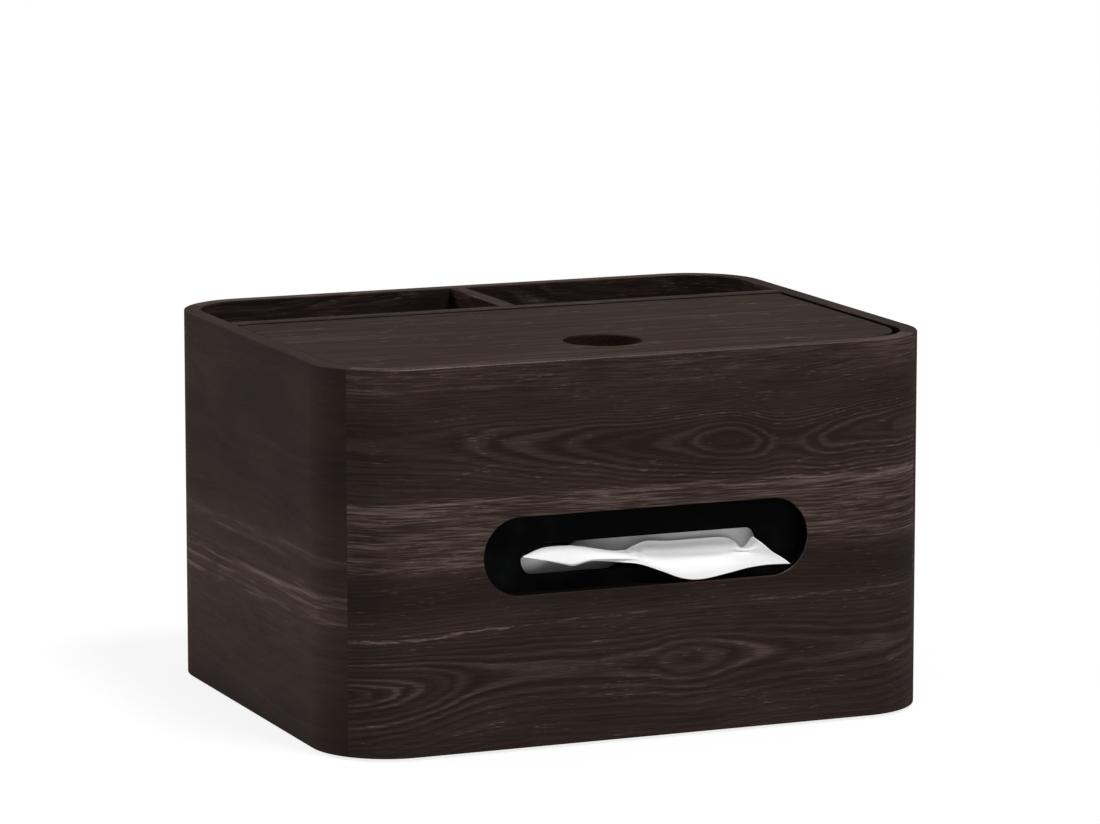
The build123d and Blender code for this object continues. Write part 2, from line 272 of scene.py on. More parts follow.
# The wood's fibres: length and width of one in mm, a seed, and the detail and roughness of
# their pattern. The width of the bent lines is counted in rings.
RING_WOBBLE = (14, 3.4, 1.1, 2, 0.5)
BENT_LINES = (30, 0.2, 3.3, 2, 0.55)
LEVEL_LINES = (13, 0.62, 4.1, 3, 0.6)
DASH_PATCHES = (24, 6.5, 5.9, 2, 0.5)
PALE_DASHES = (4.2, 0.42, 7.7, 1, 0.5)
DARK_PORES = (6.0, 0.45, 12.4, 1, 0.5)
STAIN_CLOUDS = (48, 15, 15.2, 2, 0.5)
WIDE_STREAKS = (44, 1.5, 21.3, 2, 0.5)
BASE_TONE = 0.38
# How strongly these show on front and back, on the sides, and how much more on the inner face.
RING_STRENGTH = (0.2, 0.03, 0.15)
LINE_STRENGTH = (0.17, 0.055, 0.45)
DASH_STRENGTH = (0.36, 0.12, 0.4)


def ease(value, start, end):
    """0 up to start, 1 from end on, and a smooth step between them."""
    node = put(tree_of(value), "MapRange", {"interpolation_type": "SMOOTHSTEP"},
               Value=value, From_Min=start, From_Max=end)
    return Reading(node.outputs[0])


def length_of(x, y):
    """The length of a step by x and y."""
    return calc("SQRT", x * x + y * y)


def mix(share, first, second, colours=False):
    """first where share is 0 and second where it is 1, for numbers or for colours."""
    a, b, out = (6, 7, 2) if colours else (2, 3, 0)
    node = put(tree_of(share), "Mix", {"data_type": "RGBA" if colours else "FLOAT"}, Factor=share)
    give(node.inputs[a], first)
    give(node.inputs[b], second)
    return Reading(node.outputs[out])


def trace(value, pairs):
    """A smooth curve through pairs of value and result, on a Float Curve from 0 to 1."""
    xs, ys = np.array(pairs, float).T
    x01, y01 = (xs - xs[0]) / np.ptp(xs), (ys - ys.min()) / np.ptp(ys)
    share = put(tree_of(value), "MapRange", Value=value, From_Min=xs[0], From_Max=xs[-1])
    node = put(tree_of(value), "FloatCurve", Value=Reading(share.outputs[0]))
    curve = node.mapping.curves[0]
    curve.points[0].location = (x01[0], y01[0])
    curve.points[1].location = (x01[-1], y01[-1])
    for x, y in zip(x01[1:-1], y01[1:-1]):
        curve.points.new(x, y)
    node.mapping.update()
    return Reading(node.outputs[0]) * float(np.ptp(ys)) + float(ys.min())


def start_group(name, inputs, outputs):
    """A node group, its inputs as readings by name, and the node that takes its outputs. The
    sockets are single numbers, or vectors where the name ends in a *."""
    group = bpy.data.node_groups.new(name, "ShaderNodeTree")
    for labels, way in ((inputs, "INPUT"), (outputs, "OUTPUT")):
        for label in labels:
            kind = "NodeSocketVector" if label.endswith("*") else "NodeSocketFloat"
            group.interface.new_socket(name=label.rstrip("*"), in_out=way, socket_type=kind)
    source = group.nodes.new("NodeGroupInput")
    return group, readings(source.outputs), group.nodes.new("NodeGroupOutput")


def use(group, **inputs):
    """Place a node group beside its inputs, and return its outputs as readings by name."""
    node = put(tree_of(*inputs.values()), "Group", {"node_tree": group}, **inputs)
    return readings(node.outputs)


def sheets_round_the_wall():
    """Where a point of the wall lies on its sheet of veneer, the edges that hands polish (the
    rim at front and back, and the lower right of the wide slot), where it is stained black (the
    cut edge of the slot), and where it is painted black as shade (the inside as far back as the
    partition). The sheets are 0 for the front, 1 for the back, 2 and 3 for left and right, and 4 more on
    the inner face.

    With d the step from the nearest point of the corner rectangle, R its length and A its
    angle from the y axis, a sheet of the front or back reaches to the seam angle, and the
    distance along it is x, plus R A round the corner. The distance across it is the height,
    less what the top face adds from the outer edge inwards."""
    group, given, found = start_group("sheets round the wall", ["Place*"],
                                      ["Along", "Across", "Sheet", "Edge", "Black"])
    x, y, z = parts_of(given["Place"])
    near_x, near_y = (calc("MAXIMUM", calc("MINIMUM", value, limit), -limit)
                      for value, limit in ((x, CORNER_X), (y, CORNER_Y)))
    dx, dy = x - near_x, y - near_y
    reach = length_of(dx, dy)
    angle = calc("ARCTAN2", abs(dx), abs(dy))
    on_side = angle > SEAM_ANGLE
    along_front = near_x + calc("SIGN", dx) * (reach * angle)
    along_side = near_y + calc("SIGN", dy) * (reach * (np.pi / 2 - angle))
    is_inner = reach < INNER_FACE_RADIUS
    sheet = mix(on_side, dy > 0.0, (dx > 0.0) + 2.0) + is_inner * 4.0

    rise = z - SLOT_Z
    beyond = calc("MAXIMUM", abs(x) - (SLOT_HALF - SLOT_RADIUS), 0.0)
    from_slot = length_of(beyond, rise) - SLOT_RADIUS
    in_front = y < 0.0
    outside = ease(reach, OUTER_RADIUS - 0.5, OUTER_RADIUS - 0.1)
    at_slot = (ease(x, *POLISHED_X) * ease(rise, *POLISHED_RISE) * in_front
               * (1.0 - ease(from_slot, 0.1, 0.5)))
    at_rim = ease(z, RIM_TOP - 0.5, RIM_TOP - 0.1) * ease(angle, 1.0, 0.3)
    cut = (1.0 - outside) * (1.0 - ease(from_slot, 0.2, 0.6)) * in_front
    # painted shade: the inner wall round the tissues goes black, for the dark gap at the lid
    painted_shade_round_tissues = (is_inner * ease(y, BLACK_FROM, BLACK_FULL)
                     * ease(z, RIM_TOP - 0.1, RIM_TOP - 0.5))
    fill(found, Along=mix(on_side, along_front, along_side), Across=z - (OUTER_RADIUS - reach),
         Sheet=sheet, Edge=outside * calc("MAXIMUM", at_slot, at_rim),
         Black=calc("MAXIMUM", cut, painted_shade_round_tissues))
    return group


def cathedral(along, across, middle, rings, spread, blunt):
    """Rings crossed = (rings along the middle line ^blunt + rings straight up or down from it
    ^blunt) ^(1/blunt), as when a saw cuts a leaning trunk: the lines close in blunt points on
    the middle line and run level away from it."""
    along_middle = calc("MAXIMUM", trace(along, rings), 0.0)
    beside = calc("MAXIMUM", trace(across - trace(along, middle), spread), 0.0)
    return (along_middle ** blunt + beside ** blunt) ** (1.0 / blunt)


def front_figure():
    """Growth rings of the front sheet: the smooth lesser of two cathedrals."""
    group, given, found = start_group("front figure", ["Along", "Across"], ["Rings"])
    along, across = given["Along"], given["Across"]
    upper = cathedral(along, across, UPPER_MIDDLE, UPPER_RINGS, UPPER_SPREAD, UPPER_BLUNT)
    lower = cathedral(along, across, LOWER_MIDDLE, LOWER_RINGS, LOWER_SPREAD, LOWER_BLUNT)
    fill(found, Rings=calc("SMOOTH_MIN", upper, lower, 0.8))
    return group


def plain_figure():
    """Growth rings of a quiet sheet: level lines that drift, with a stray eye here and there.
    Rings = across / spacing + a slow cloud, long along the grain, that bends them."""
    group, given, found = start_group("plain figure", ["Along", "Across", "Sheet"], ["Rings"])
    length, width = QUIET_BEND
    slow = cloud(point(given["Along"] / length, given["Across"] / width, given["Sheet"] * 17.3), 2, 0.45)
    fill(found, Rings=given["Across"] / QUIET_SPACING + slow * QUIET_RINGS_BENT)
    return group


def wood_grain():
    """Tone and relief of stained open-pored wood, from where a point lies and the rings there.

    Each ring fades in from dark to light and sooner out again, some more strongly than others.
    Fine lines follow the rings, short pale dashes and dark pores follow the grain, and a slow
    cloud varies the stain. Light stripes are livelier: their lines are stronger, and wide
    streaks run in them."""
    group, given, found = start_group(
        "wood grain", ["Along", "Across", "Rings", "Sheet", "Stripe", "Ring", "Line", "Dash", "Pore"],
        ["Tone", "Relief"])
    seed = given["Sheet"] * 9.7

    def fibre(length, width, offset, detail, roughness, lines=given["Across"]):
        return cloud(point(given["Along"] / length, lines / width, seed + offset), detail, roughness)

    rings = given["Rings"] + (fibre(*RING_WOBBLE) - 0.5) * 0.5
    step = calc("FRACT", rings)
    own = put(group, "TexWhiteNoise", {"noise_dimensions": "1D"}, W=calc("FLOOR", rings) + seed)
    crest = Reading(own.outputs["Value"]) * 0.9 + 0.5
    ring = ease(step, 0.05, 0.6) * (1.0 - ease(step, 0.66, 1.0)) * crest - 0.5
    bent = ease(fibre(*BENT_LINES, rings), 0.3, 0.7) - 0.5
    level = ease(fibre(*LEVEL_LINES), 0.32, 0.68) - 0.5
    lines = level * 0.6 + bent * 0.45
    dash = ease(fibre(*PALE_DASHES), 0.6, 0.78) * ease(fibre(*DASH_PATCHES), 0.4, 0.62)
    pore = ease(fibre(*DARK_PORES), 0.56, 0.78)
    stain = fibre(*STAIN_CLOUDS) - 0.5
    streak = ease(fibre(*WIDE_STREAKS), 0.36, 0.64) - 0.5
    light = calc("MAXIMUM", given["Stripe"], 0.0)
    tone = (given["Stripe"] + BASE_TONE + ring * given["Ring"]
            + lines * given["Line"] * (light * 10.0 + 1.0) + dash * given["Dash"]
            + stain * 0.3 + streak * light * 0.9 - pore * given["Pore"])
    fill(found, Tone=tone, Relief=lines * 0.3 + dash * 0.25 + 0.5 - pore * 0.5)
    return group


def veneer_colours(tone):
    """The stain's colours, from its darkest lines to the palest fibres."""
    return shades(tone, (0.02, VENEER_DEEP), (0.3, VENEER_DARK), (0.55, VENEER_MID), (1.0, VENEER_PALE))


def pale_line(along, across, sheet):
    """How far a jagged, broken pale line lightens the front sheet at a point."""
    jag = cloud(point(along / PALE_JAG[0], across / PALE_JAG[1], sheet), 2, 0.6) - 0.5
    off_line = across + jag * PALE_WANDER - trace(along, PALE_LINE)
    specks = cloud(point(along / PALE_SPECK[0], across / PALE_SPECK[1], 8.0), 2, 0.6)
    speck = ease(specks, 0.3, 0.62)
    on_line = ease(abs(off_line), PALE_HALF, 0.2 * PALE_HALF) * (speck * 0.9 + 0.35)
    return on_line * trace(along, PALE_STRENGTH)


def wall_veneer(sheets, front, plain, grain):
    """The wall's material: a figured front with its pale line, a quieter back and sides, a
    lively inner face, black stain on the slot's cut edge, black painted shade round the tissues, and a
    lacquer that closes more on the polished edges."""
    material, shader, mm = start_material("dark_wood_veneer")
    along, across, sheet, edge, black = use(sheets, Place=mm).values()
    is_front, is_side, is_inner = sheet < 0.5, sheet > 1.5, sheet > 3.5
    is_back = calc("COMPARE", sheet, 1.0, 0.1)
    figured = use(front, Along=along, Across=across)["Rings"]
    quiet = use(plain, Along=along, Across=across, Sheet=sheet)["Rings"]

    sway = cloud(point(along / SWAY_LENGTH, 0.0, sheet), 2, 0.5) - 0.5
    swayed = across + sway * SWAY_HEIGHT
    stripe = mix(is_side, trace(swayed, FRONT_STRIPES), trace(swayed + along * SIDE_CLIMB, SIDE_STRIPES))
    stripe = stripe + is_front * pale_line(along, across, sheet) - is_inner * 0.1

    ring, line, dash = (mix(is_side, lively, still) + is_inner * inside
                        for lively, still, inside in (RING_STRENGTH, LINE_STRENGTH, DASH_STRENGTH))
    from_arcs = length_of(*((value - middle) / reach for value, middle, reach
                            in zip((along, across), BRIGHT_ARCS, ARCS_REACH)))
    bright = is_front * ease(from_arcs, 1.0, 0.4)
    crowded = is_front * ease(figured, *CROWDED_RINGS)
    ring = ring * (bright * 0.25 + 1.0) * (1.0 - crowded * 0.65) * (1.0 - is_back * 0.55)

    wood = use(grain, Along=along, Across=across, Rings=mix(is_front, quiet, figured), Sheet=sheet,
               Stripe=stripe, Ring=ring, Line=line, Dash=dash, Pore=0.08)
    # black stain on the cut edge, and black painted shade round the tissues
    fill(shader, Base_Color=mix(black, veneer_colours(wood["Tone"]), BLACK_STAIN_AND_SHADE, colours=True),
         Roughness=0.6 - wood["Relief"] * 0.14, Specular_IOR_Level=0.0,
         Coat_Weight=edge * EDGE_LACQUER + LACQUER, Coat_Roughness=LACQUER_ROUGHNESS,
         Normal=bumps(wood["Relief"], GRAIN_RELIEF))
    return material


grain = wood_grain()
plain = plain_figure()
finish_node("shell", wall_veneer(sheets_round_the_wall(), front_figure(), plain, grain))


# ---------------------------------------------------------------- partition and divider
# Two 6 mm boards stand in grooves of the wall and are screwed from below. They are veneered
# on both faces and over the top edge, with the grain level, in the same stain as the wall.

BOARD_HALF = 3.0        # mm
BOARD_TONE = -0.02
# painted shade on both faces of the divider and on the partition's face towards the tissues
DIVIDER_PAINTED_SHADE, PARTITION_PAINTED_SHADE = 0.22, 0.4


def board_veneer(name, turned):
    """Straight veneer over a standing board: along x, or along y when turned. The distance
    across is the height less the step sideways from the board's middle, over its edge. Both
    faces of the divider, and the partition's face towards the tissues, are painted darker as shade."""
    material, shader, mm = start_material(name)
    x, y, z = parts_of(mm)
    # painted shade: the chosen faces are darkened
    if turned:
        along, side, first_sheet = y, x, 11.0
        darker = (abs(side) > BOARD_HALF - 0.1) * DIVIDER_PAINTED_SHADE
    else:
        along, side, first_sheet = x, y - PARTITION_Y, 14.0
        darker = (side < 0.1 - BOARD_HALF) * PARTITION_PAINTED_SHADE
    across = z - abs(side)
    sheet = calc("SIGN", side) + first_sheet
    rings = use(plain, Along=along, Across=across, Sheet=sheet)["Rings"]
    wood = use(grain, Along=along, Across=across, Rings=rings, Sheet=sheet,
               Stripe=BOARD_TONE - darker, Ring=0.17, Line=0.34, Dash=0.3, Pore=0.12)
    fill(shader, Base_Color=veneer_colours(wood["Tone"]), Roughness=0.62 - wood["Relief"] * 0.14,
         Specular_IOR_Level=0.0, Coat_Weight=LACQUER, Coat_Roughness=LACQUER_ROUGHNESS,
         Normal=bumps(wood["Relief"], GRAIN_RELIEF))
    return material


finish_node("partition", board_veneer("partition_veneer", turned=False))
finish_node("divider", board_veneer("divider_veneer", turned=True))


# ---------------------------------------------------------------- slot plate
# A 3 mm plate of black moulded plastic with the narrow slot that the tissue is drawn
# through. It is screwed to the inside of the front wall. Its face has a fine satin grain.

PLATE_BLACK = (0.0016, 0.0022, 0.0018, 1)
PLATE_WORN = (0.0050, 0.0060, 0.0054, 1)
PLATE_PIT, PLATE_RUB = 0.45, 14.0       # mm
PLATE_RELIEF = 0.00006                  # m


def satin_plastic():
    """Moulded black plastic: a fine spark-eroded grain, and cloudy rubbing."""
    material, shader, mm = start_material("black_plate")
    pits = cloud(mm, 3, 0.6, 1 / PLATE_PIT)
    rubbed = ease(cloud(mm, 3, 0.55, 1 / PLATE_RUB), 0.4, 0.75)
    fill(shader, Base_Color=shades(pits * rubbed, (0.1, PLATE_BLACK), (0.6, PLATE_WORN)),
         Roughness=0.66 - rubbed * 0.14, Specular_IOR_Level=0.02, Normal=bumps(pits, PLATE_RELIEF))
    return material


finish_node("slot_plate", satin_plastic())


# ---------------------------------------------------------------- lid cleats
# Three strips of the base's stained fibreboard carry the lid flush with the rim. They are
# pinned and glued to the wall and the partition.

for strip in ("lid_cleat_left", "lid_cleat_right", "lid_cleat_rear"):
    finish_node(strip, board)


# ---------------------------------------------------------------- lid
# A loose 6 mm board with a finger hole, veneered on top with a finer, straighter sheet that runs
# with the front; its sides and underside are painted dark as shade. Handling has polished it round the
# hole.

HOLE_X, HOLE_Y, HOLE_RADIUS = -1.3, -52.8, 13.3     # mm
LID_TOP = 131.0                                     # mm
POLISHED_RING = 9.0                                 # mm, round the hole
LID_DARK = (0.0180, 0.0122, 0.0100, 1)
LID_MID = (0.0325, 0.0226, 0.0190, 1)
LID_PALE = (0.0900, 0.0660, 0.0570, 1)
# painted shade for the lid's sides and underside
LID_PAINTED_SHADE = (0.0075, 0.0050, 0.0042, 1)
HOLE_DARK = (0.0125, 0.0070, 0.0055, 1)
HOLE_STAIN = (0.0290, 0.0170, 0.0138, 1)
LID_BEND, LID_SPACING, LID_RINGS_BENT = (120.0, 26.0), 9.0, 5.0     # as on a quiet sheet
END_GRAIN = 1.2                                     # mm
LID_RELIEF = 0.00006                                # m


def lid_veneer():
    """Fine straight grain along x; across is y, carried down over the lid's edges. The wall
    of the finger hole shows end grain, which takes the stain darker and redder. The sides and
    underside are painted dark, as shade in the gap round the lid."""
    material, shader, mm = start_material("dark_wood_lid")
    x, y, z = parts_of(mm)
    across = y - (LID_TOP - z)
    slow = cloud(point(x / LID_BEND[0], across / LID_BEND[1], 4.0), 1, 0.4)
    rings = across / LID_SPACING + slow * LID_RINGS_BENT
    wood = use(grain, Along=x * 0.6, Across=across * 0.34, Rings=rings, Sheet=21.0,
               Stripe=0.12, Ring=0.075, Line=0.06, Dash=0.42, Pore=0.08)
    from_hole = length_of(x - HOLE_X, y - HOLE_Y)
    in_hole = 1.0 - ease(from_hole, HOLE_RADIUS + 0.15, HOLE_RADIUS + 0.5)
    polished = 1.0 - ease(from_hole, HOLE_RADIUS, HOLE_RADIUS + POLISHED_RING)
    # painted shade: below the top face the lid turns dark, for the gap round it
    below = ease(z, LID_TOP - 0.3, LID_TOP - 0.8)
    face = shades(wood["Tone"], (0.02, VENEER_DARK), (0.3, LID_DARK), (0.58, LID_MID), (1.0, LID_PALE))
    end_grain = cloud(point(x / END_GRAIN, y / END_GRAIN, z), 3, 0.6)
    hole = shades(end_grain, (0.25, HOLE_DARK), (0.8, HOLE_STAIN))
    fill(shader, Base_Color=mix(in_hole, mix(below, face, LID_PAINTED_SHADE, colours=True), hole, colours=True),
         Roughness=0.62 - wood["Relief"] * 0.1 - polished * 0.1, Specular_IOR_Level=0.0,
         Coat_Weight=0.5 * LACQUER, Coat_Roughness=0.3, Normal=bumps(wood["Relief"], LID_RELIEF))
    return material


finish_node("lid", lid_veneer())


# ---------------------------------------------------------------- screws and pins
# Six countersunk screws hold partition and divider from below, four pan heads hold the
# plate, and ten headless pins hold the cleats. All are zinc plated steel.

ZINC = (0.42, 0.42, 0.44, 1)
ZINC_DULL = (0.20, 0.20, 0.21, 1)
TURNED_PITCH, BLOOM_SIZE = 0.12, 1.6    # mm
ZINC_RELIEF = 0.00003                   # m


def zinc_plate():
    """Zinc plate: turned lines, with dull blooms where the plating has greyed."""
    material, shader, mm = start_material("screw_steel")
    x, y, z = parts_of(mm)
    turned = cloud(point(x / 2.0, y / 2.0, z / TURNED_PITCH), 2, 0.6)
    bloom = ease(cloud(mm, 3, 0.6, 1 / BLOOM_SIZE), 0.42, 0.7)
    fill(shader, Base_Color=shades(bloom, (0.0, ZINC), (1.0, ZINC_DULL)),
         Roughness=bloom * 0.22 + 0.3, Metallic=1.0, Normal=bumps(turned, ZINC_RELIEF))
    return material


zinc = zinc_plate()
for fastener in ("base_screws", "slot_plate_screws", "cleat_pins"):
    finish_node(fastener, zinc)


# ---------------------------------------------------------------- foot pads
# Four thin discs of black anti-slip rubber are stuck under the corners. The rubber is
# stippled, and picks up a little pale dust at its rim.

PAD_X, PAD_Y, PAD_RADIUS = 86.0, 64.0, 7.0      # mm
STIPPLES, STIPPLE_HEIGHT = 1.1, 0.00025         # per mm, and m
RUBBER_BLACK = (0.012, 0.012, 0.012, 1)
RUBBER_DUSTY = (0.060, 0.057, 0.053, 1)


def stippled_rubber():
    """Matt rubber: round stipples from a cell pattern, and dust towards the rim."""
    material, shader, mm = start_material("pad_rubber")
    x, y, z = parts_of(mm)
    from_middle = length_of(abs(x) - PAD_X, abs(y) - PAD_Y)
    cells = put(tree_of(mm), "TexVoronoi", Vector=mm, Scale=STIPPLES)
    stipple = 1.0 - Reading(cells.outputs["Distance"])
    dust = ease(from_middle, 0.55 * PAD_RADIUS, PAD_RADIUS) * cloud(mm, 3, 0.6, 0.8)
    fill(shader, Base_Color=shades(dust, (0.15, RUBBER_BLACK), (0.7, RUBBER_DUSTY)),
         Roughness=dust * 0.15 + 0.75, Specular_IOR_Level=0.3, Normal=bumps(stipple, STIPPLE_HEIGHT))
    return material


rubber = stippled_rubber()
for corner in ("front_left", "front_right", "rear_left", "rear_right"):
    finish_node("foot_pad_" + corner, rubber)


# ---------------------------------------------------------------- tissue stack
# Folded paper tissues stand on edge behind the plate, folds up and down by turns. Each is
# a soft slab with a rounded fold, or an open edge with a crease between its two layers.

STACK_X, STACK_FRONT, STACK_REAR = 95.0, -40.0, 22.0    # mm
STACK_BOTTOM, STACK_TOP = 6.0, 106.0                    # mm
LEAVES = 41
LEAF_STATIONS, LEAF_STEPS = 17, 20      # points along a leaf, and round its section
PAPER_WHITE = (0.90, 0.90, 0.90, 1)
PAPER_SHADE = (0.84, 0.845, 0.85, 1)
CREPE_RIDGE, PAPER_FIBRE = (3.2, 0.55), 0.7             # mm
PAPER_RELIEF = 0.00008                                  # m


def tissue_paper():
    """Two-ply tissue: crepe ridges across the sheet, felted fibres and faint lint. The place
    on the sheet comes from its own UV map, in millimetres."""
    material, shader, flat = start_material("tissue_paper", uv_map="flat_mm")
    u, v, _ = parts_of(flat)
    ridge_length, ridge_width = CREPE_RIDGE
    crepe = cloud(point(u / ridge_length, v / ridge_width, 0.0), 2, 0.55)
    fibre = cloud(point(u / PAPER_FIBRE, v / PAPER_FIBRE, 5.0), 3, 0.7)
    soft = crepe * 0.55 + fibre * 0.45
    fill(shader, Base_Color=shades(soft, (0.2, PAPER_SHADE), (0.55, PAPER_WHITE)),
         Roughness=fibre * 0.15 + 0.8, Specular_IOR_Level=0.15, Normal=bumps(soft, PAPER_RELIEF))
    return material


def mesh_piece(name, points, faces, uv, materials):
    """An object at the origin from points in millimetres, quads, and a UV per point."""
    mesh = bpy.data.meshes.new(name)
    mesh.from_pydata((np.asarray(points) / 1000.0).tolist(), [], faces.tolist())
    layer = mesh.uv_layers.new(name="flat_mm")
    corner_point = np.empty(len(mesh.loops), np.int32)
    mesh.loops.foreach_get("vertex_index", corner_point)
    layer.data.foreach_set("uv", np.asarray(uv, np.float32)[corner_point].ravel())
    mesh.shade_smooth()
    mesh.validate()
    for material in materials:
        mesh.materials.append(material)
    piece = bpy.data.objects.new(name, mesh)
    bpy.context.collection.objects.link(piece)
    return piece


def bulge(wave, power):
    """A sine or cosine raised to a power with its sign kept, which squares a circle."""
    return np.sign(wave) * np.abs(wave) ** power


def leaf_slabs():
    """All leaves at once: leaf i, station j along x, and step k round its section.

    A section is a superellipse, y = middle + half thickness * cos(a)^0.35 and z = middle +
    half height * sin(a)^0.12, whose top dips where the leaf is open. Each leaf's top edge
    waves by a few tenths of a millimetre, and its ends are drawn in to close it."""
    rng = np.random.default_rng(11)
    i, j, k = np.meshgrid(np.arange(LEAVES), np.linspace(-1, 1, LEAF_STATIONS),
                          np.arange(LEAF_STEPS), indexing="ij")
    a = 2 * np.pi * (k + 0.5) / LEAF_STEPS
    pitch = (STACK_REAR - STACK_FRONT) / LEAVES
    wave, lag, drop, inset = (rng.random(LEAVES)[i] for _ in range(4))
    ripple = 1 + np.sin(j * (3 + 4 * wave) + 6.28 * lag)
    height = STACK_TOP - STACK_BOTTOM - 0.4 - 1.1 * drop - 0.35 * ripple
    close = (1 - np.abs(j) ** 24) ** 0.5
    half_thick = 0.485 * pitch * (0.25 + 0.75 * close)
    y = STACK_FRONT + pitch * (i + 0.5) + half_thick * bulge(np.cos(a), 0.35)
    open_top = (i % 2 == 0) * np.exp(-(np.cos(a) / 0.3) ** 2) * (np.sin(a) > 0)
    z = STACK_BOTTOM + 0.05 + height * (0.5 + 0.5 * bulge(np.sin(a), 0.12)) - 0.5 * open_top
    x = j * (STACK_X - 0.1 - 0.8 * inset)
    uv = np.stack([x + 13 * i, z], -1).reshape(-1, 2)
    n = np.arange(i.size).reshape(i.shape)
    after = np.roll(n, -1, axis=2)
    quads = np.stack([n[:, :-1], after[:, :-1], after[:, 1:], n[:, 1:]], -1).reshape(-1, 4)
    rungs = [[s, s + 1, LEAF_STEPS - 2 - s, LEAF_STEPS - 1 - s] for s in range(LEAF_STEPS // 2 - 1)]
    caps = [n[:, end][:, rung[::turn]] for end, turn in ((0, -1), (-1, 1)) for rung in rungs]
    return np.stack([x, y, z], -1).reshape(-1, 3), np.vstack([quads] + caps), uv


paper = tissue_paper()
stack = mesh_piece("tissue_leaves", *leaf_slabs(), [paper])
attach(stack, "box")
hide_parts("tissue_stack")


# ---------------------------------------------------------------- pulled tissue
# One tissue, 190 x 200 mm. Its top has flopped forward from the stack, its fold hangs on the
# stack's face, and from there it is gathered and passes through the plate's slot. Its free
# end lies in the wide slot: a flat lobe, a twist, and a shallow cup whose lip rests on the wall.

TISSUE_WIDTH, TISSUE_LENGTH = 190.0, 200.0      # mm
TISSUE_THICK = 0.00018                          # m
ACROSS = np.array([0, 0.08, 0.16, 0.26, 0.34, 0.42, 0.50, 0.58, 0.68, 0.76, 0.84, 0.92, 1.0])


def through(knots, values, where):
    """A cubic through values at the knots: the slope at a knot is the mean of the slopes on
    its two sides, each weighted by the other side's length."""
    knots, values = np.asarray(knots, float), np.asarray(values, float)
    gap = np.diff(knots)
    shape = (-1,) + (1,) * (values.ndim - 1)
    rise = np.diff(values, axis=0) / gap.reshape(shape)
    left, right = gap[:-1].reshape(shape), gap[1:].reshape(shape)
    inner = (rise[:-1] * right + rise[1:] * left) / (left + right)
    slope = np.concatenate([rise[:1], inner, rise[-1:]])
    i = np.clip(np.searchsorted(knots, where, side="right") - 1, 0, len(knots) - 2)
    t = ((where - knots[i]) / gap[i]).reshape(shape)
    g = gap[i].reshape(shape)
    return ((2 * t**3 - 3 * t**2 + 1) * values[i] + (t**3 - 2 * t**2 + t) * g * slope[i]
            + (3 * t**2 - 2 * t**3) * values[i + 1] + (t**3 - t**2) * g * slope[i + 1])


def level_row(half, y, z, lift=0.0):
    """A straight row of the sheet, half its width to each side, its middle lifted a little."""
    s = 2 * ACROSS - 1
    return np.stack([half * s, np.full_like(s, y), z + lift * (1 - s**2)], -1)


# The rows near the slots, from inside the compartment to the free edge, left to right.
INNER_TURN = [(-58, -73.6, 50.0), (-50, -73.4, 50.5), (-42, -72.6, 51.0), (-31, -71.0, 52.0),
              (-20, -69.5, 53.5), (-10, -69.5, 55.5), (0, -70.5, 58.0), (11, -72.0, 61.0),
              (26, -73.6, 64.0), (36, -74.0, 66.5), (45, -74.0, 68.5), (53, -73.8, 70.0),
              (60, -73.6, 71.0)]
CURTAIN = [(-46.0, -78.6, 59.6), (-40, -78.4, 60.4), (-32, -77.6, 61.6), (-24, -75.4, 64.6),
           (-16, -74.2, 68.6), (-8, -75.2, 70.4), (1, -77.0, 70.6), (11, -78.5, 70.6),
           (23, -79.1, 70.7), (34, -79.2, 70.8), (41, -79.2, 70.9), (46, -79.2, 70.4),
           (49.5, -79.0, 69.0)]
THROAT = [(-43.2, -79.6, 62.8), (-35, -79.4, 63.2), (-27, -78.8, 63.2), (-18.5, -77.4, 62.6),
          (-10.3, -76.6, 61.8), (-4.0, -77.0, 61.4), (3, -77.4, 61.8), (10, -77.7, 62.0),
          (21, -77.8, 62.0), (30.5, -77.8, 61.9), (36, -78.1, 61.6), (39.6, -78.5, 61.6),
          (42.5, -78.9, 62.2)]
NECK = [(-42.2, -82.0, 64.7), (-34.8, -81.6, 66.0), (-27.5, -81.2, 66.4), (-19.6, -80.6, 65.4),
        (-10.0, -79.4, 63.2), (-3.6, -78.6, 62.7), (2.6, -78.4, 64.2), (10.7, -78.4, 64.0),
        (21.0, -78.4, 64.0), (29.7, -78.4, 64.0), (34.8, -78.8, 62.6), (38.2, -80.8, 61.4),
        (40.2, -83.0, 62.4)]
CREST = [(-43.2, -84.0, 65.1), (-36.1, -83.2, 67.2), (-28.2, -83.0, 67.4), (-20.6, -82.8, 66.4),
         (-10.2, -82.0, 64.2), (-4.2, -80.9, 64.2), (1.9, -80.4, 66.3), (10.7, -80.4, 65.8),
         (21.0, -80.4, 65.8), (30.6, -80.4, 65.65), (34.9, -80.8, 64.1), (37.2, -83.0, 61.7),
         (39.3, -86.6, 66.1)]
BACK = [(-43.4, -84.3, 65.1), (-36.3, -84.0, 66.8), (-28.2, -83.9, 66.8), (-20.2, -83.7, 65.9),
        (-10.0, -82.8, 63.9), (-3.8, -80.9, 63.5), (2.7, -80.1, 64.8), (11.6, -79.9, 64.4),
        (21.6, -79.9, 64.4), (30.6, -79.9, 64.3), (34.6, -80.4, 63.4), (37.4, -84.2, 61.6),
        (41.0, -87.0, 65.1)]
BELLY = [(-43.6, -84.6, 65.2), (-36.5, -85.0, 65.8), (-28.0, -85.0, 65.6), (-19.6, -84.7, 65.0),
         (-9.8, -84.2, 63.5), (-3.0, -82.7, 62.8), (3.1, -81.9, 63.0), (11.3, -81.8, 62.5),
         (20.9, -81.8, 62.2), (29.4, -81.9, 61.9), (33.3, -82.5, 61.9), (37.8, -85.8, 61.6),
         (43.0, -87.3, 63.6)]
